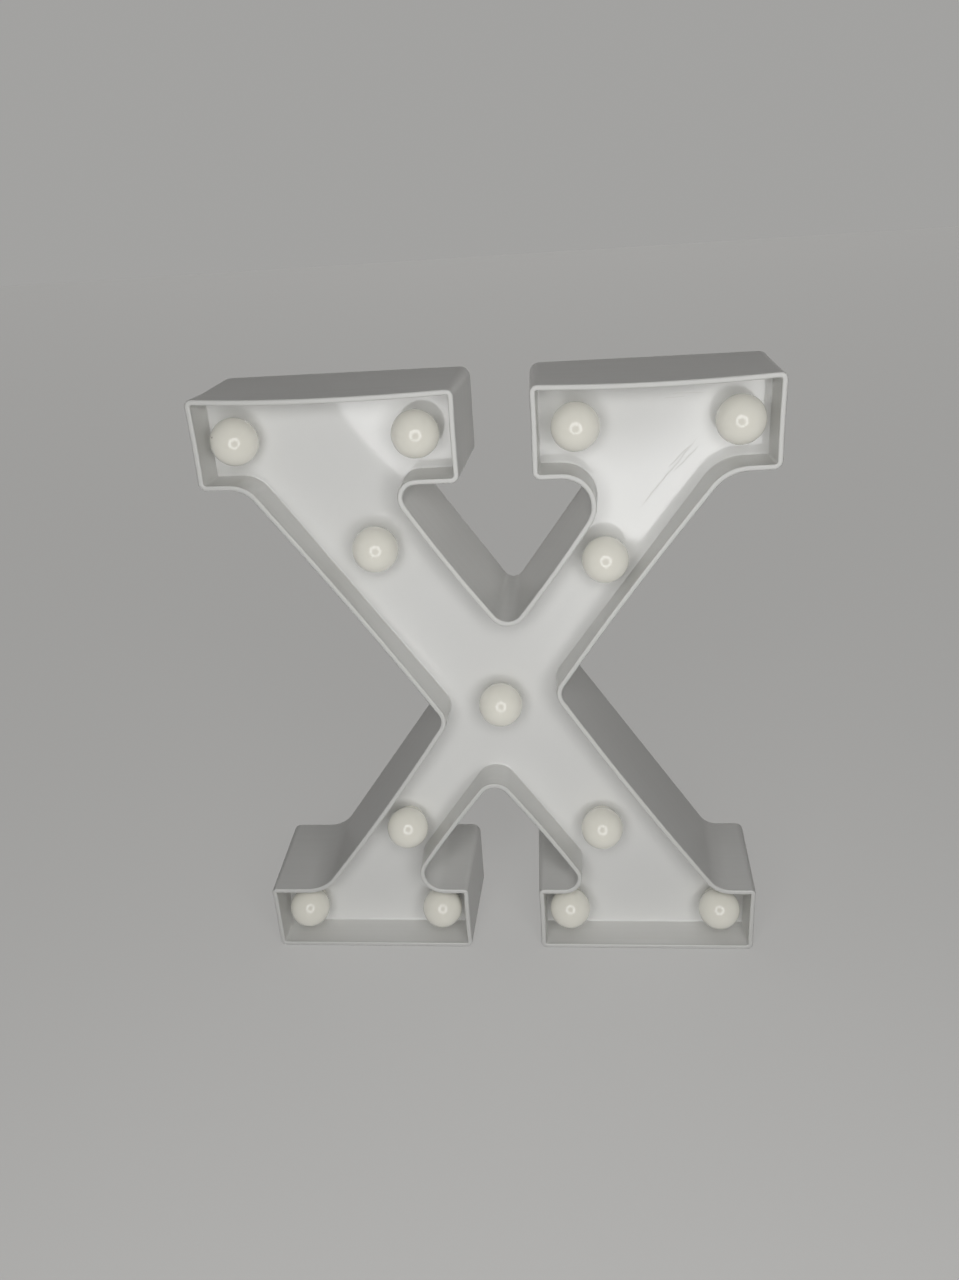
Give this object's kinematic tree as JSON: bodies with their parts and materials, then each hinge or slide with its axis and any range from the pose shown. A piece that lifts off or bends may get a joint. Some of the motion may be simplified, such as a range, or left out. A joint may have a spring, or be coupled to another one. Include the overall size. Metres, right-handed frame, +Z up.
{
  "type": "light-up letter",
  "caption": "Light-up slab-serif letter X: white moulded shell with a sunk face, opal globes lit by LEDs, and a back with battery well, hinged door, slide switch and keyholes.",
  "frame": {"origin": "middle of the overall box, at the underside of the feet", "axes": "+Z up, the lit face looks along -Y and the back along +Y, +X to the reader's right"},
  "size_m": [0.19, 0.0434, 0.22],
  "materials": {
    "shell": "gloss white moulding",
    "globe": "opal white",
    "cover": "matt white moulding",
    "cell": "plain printed film",
    "contact": "nickel plated",
    "switch": "satin",
    "knob": "satin black",
    "screw": "zinc plated",
    "wire_pos": "insulated wire",
    "wire_neg": "insulated wire",
    "led": "clear lens"
  },
  "bodies": {
    "letter": {"letter_shell": "shell", "back_cover": "cover", "battery_1": "cell", "battery_2": "cell", "contact_neg": "contact", "contact_pos": "contact", "contact_bridge": "contact", "switch_frame": "switch", "switch_pins": "contact", "switch_screws": "screw", "cover_screws": "screw", "harness_pos": "wire_pos", "harness_neg": "wire_neg", "switch_lead": "wire_neg", "globe_1": "globe", "globe_2": "globe", "globe_3": "globe", "globe_4": "globe", "globe_5": "globe", "globe_6": "globe", "globe_7": "globe", "globe_8": "globe", "globe_9": "globe", "globe_10": "globe", "globe_11": "globe", "globe_12": "globe", "globe_13": "globe", "led_1": "led", "led_2": "led", "led_3": "led", "led_4": "led", "led_5": "led", "led_6": "led", "led_7": "led", "led_8": "led", "led_9": "led", "led_10": "led", "led_11": "led", "led_12": "led", "led_13": "led"},
    "door": {"battery_door": "cover"},
    "knob": {"switch_knob": "knob"}
  },
  "joints": [
    {"name": "door_hinge", "type": "hinge", "parent": "letter", "child": "door", "pos_m": [0.00146, 0.01865, 0.08351], "axis": [-1, 0, 0], "range_deg": [0, 95]},
    {"name": "switch_slide", "type": "slide", "parent": "letter", "child": "knob", "axis": [0, 0, 1], "range_m": [0, 0.004]}
  ]
}
